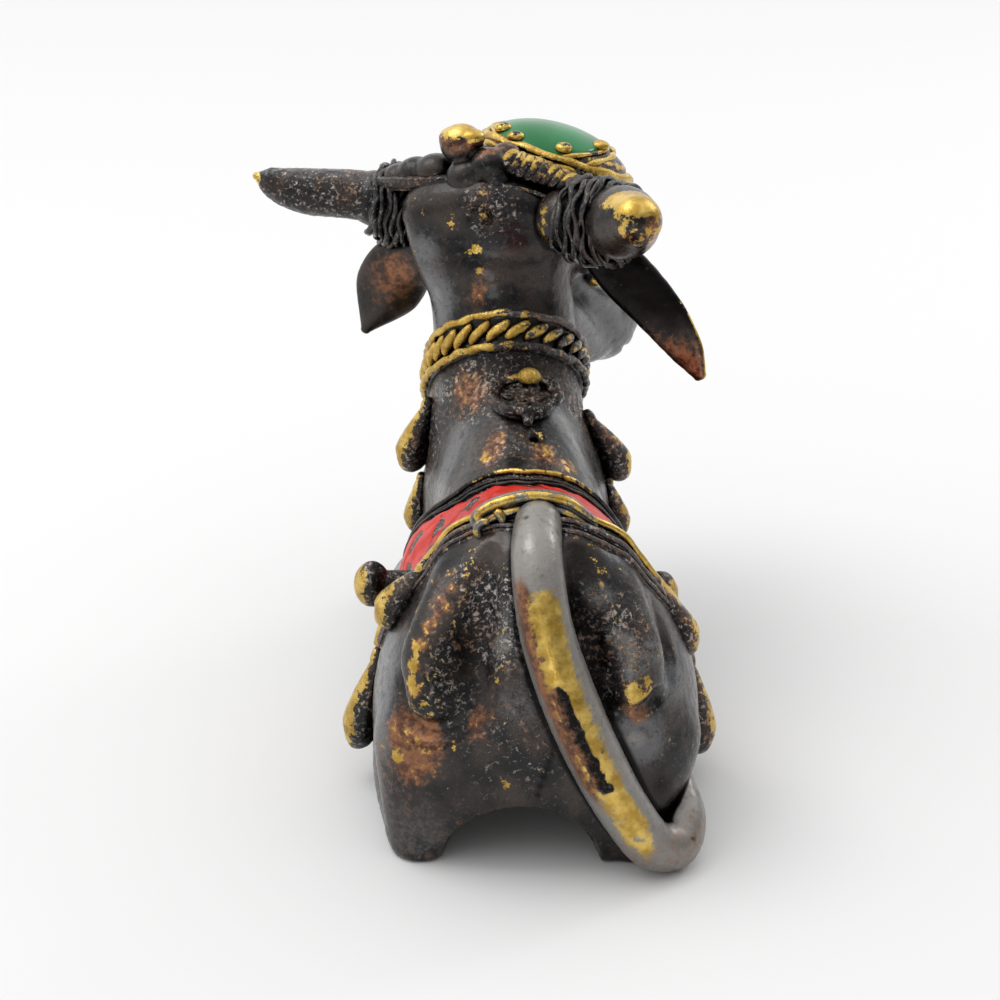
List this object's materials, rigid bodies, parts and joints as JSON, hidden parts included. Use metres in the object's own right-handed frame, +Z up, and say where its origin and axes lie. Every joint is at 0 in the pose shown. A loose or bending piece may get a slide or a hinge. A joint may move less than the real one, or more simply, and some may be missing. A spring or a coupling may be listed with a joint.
{
  "type": "nandi figurine",
  "caption": "Small cast brass figurine of a couchant bull with its head turned, dressed with a collar, bells, an enamelled saddle cloth and a cap.",
  "frame": {"origin": "on the flat underside, on the line of the spine, below the middle of the back", "axes": "+X to the bull's left, +Y towards its rump, so that it looks along -Y, +Z up"},
  "size_m": [0.0297, 0.0485, 0.0373],
  "materials": {
    "patinated_brass": "dark brown-black patina over cast brass, rubbed to gold and copper on the high places, gritty in the hollows",
    "rubbed_brass": "rims, beads, bells and the tail rubbed back to yellow brass, dark in the grooves",
    "red_enamel": "glossy red enamel paint with brush ridges, thin and pitted in places",
    "green_enamel": "glossy green enamel paint pooled inside a brass rim"
  },
  "bodies": {
    "root": {"nandi": "patinated_brass"}
  },
  "joints": []
}
